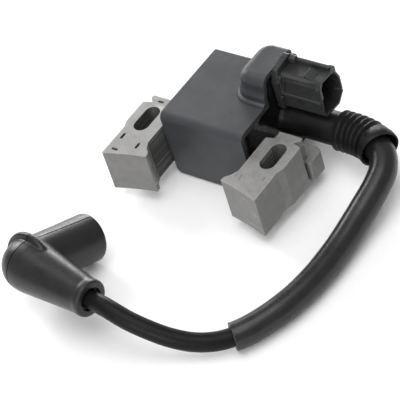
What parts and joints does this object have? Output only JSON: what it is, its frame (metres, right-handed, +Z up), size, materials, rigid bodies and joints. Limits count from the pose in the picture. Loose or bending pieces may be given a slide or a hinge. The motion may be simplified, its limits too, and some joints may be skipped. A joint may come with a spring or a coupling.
{
  "type": "ignition coil",
  "caption": "Ignition coil of a small engine: laminated core legs with bolt slots, potted case, socket connector, booted lead and an elbow spark plug cap.",
  "frame": {"origin": "middle of the coil's own footprint (core, case and connector, without the lead and its cap) on the surface it lies on", "axes": "+X from the closed side of the case to the connector, along the yoke bar; +Y from the pole tips to the back of the case; +Z up, along the core stack and the two bolt slots"},
  "size_m": [0.1147, 0.1288, 0.0439],
  "materials": {
    "core_steel": "laminated electrical steel, matt blasted, warm grey",
    "case_plastic": "glass-filled thermoplastic, satin slate grey",
    "epoxy": "cast epoxy, glossy black",
    "connector_plastic": "moulded nylon, semi-gloss black",
    "black_rubber": "moulded EPDM, satin black",
    "sleeve_rubber": "extruded sleeve, semi-gloss black",
    "lead_jacket": "lead jacket, satin black",
    "tinned_brass": "tin-plated brass blades",
    "brass": "turned brass",
    "enamelled_copper": "enamelled copper wire",
    "bobbin_plastic": "moulded nylon, natural",
    "ferrite": "sintered ferrite, dark grey",
    "component_body": "moulded electronic package, black",
    "circuit_laminate": "glass-epoxy board, green",
    "ceramic": "ceramic resistor body, off-white",
    "spring_steel": "bright spring wire"
  },
  "bodies": {
    "coil": {"left_core_leg": "core_steel", "right_core_leg": "core_steel", "core_bar": "core_steel", "coil_case": "case_plastic", "potting": "epoxy", "connector_housing": "connector_plastic", "connector_pin_1": "tinned_brass", "connector_pin_2": "tinned_brass", "connector_pin_3": "tinned_brass", "connector_pin_4": "tinned_brass", "charge_bobbin": "bobbin_plastic", "charge_winding": "enamelled_copper", "ferrite_rod": "ferrite", "primary_bobbin": "bobbin_plastic", "primary_winding": "enamelled_copper", "secondary_bobbin": "bobbin_plastic", "secondary_winding_1": "enamelled_copper", "secondary_winding_2": "enamelled_copper", "secondary_winding_3": "enamelled_copper", "secondary_winding_4": "enamelled_copper", "secondary_winding_5": "enamelled_copper", "ht_terminal": "brass", "circuit_board": "circuit_laminate", "charge_capacitor": "component_body", "control_chip": "component_body", "thyristor": "component_body", "rectifier_diode_1": "component_body", "rectifier_diode_2": "component_body", "lead_boot": "black_rubber", "lead_sleeve": "sleeve_rubber", "ht_lead": "lead_jacket"},
    "plug_cap": {"plug_cap_boot": "black_rubber", "cap_lead_screw": "brass", "cap_elbow_terminal": "brass", "cap_resistor": "ceramic", "cap_spring": "spring_steel", "cap_plug_clip": "brass"}
  },
  "joints": [
    {"name": "plug_cap_swivel", "type": "hinge", "parent": "coil", "child": "plug_cap", "pos_m": [-0.03056, -0.0865, 0.01977], "axis": [0.9906, -0.1357, -0.0198], "range_deg": [0, 180]}
  ]
}
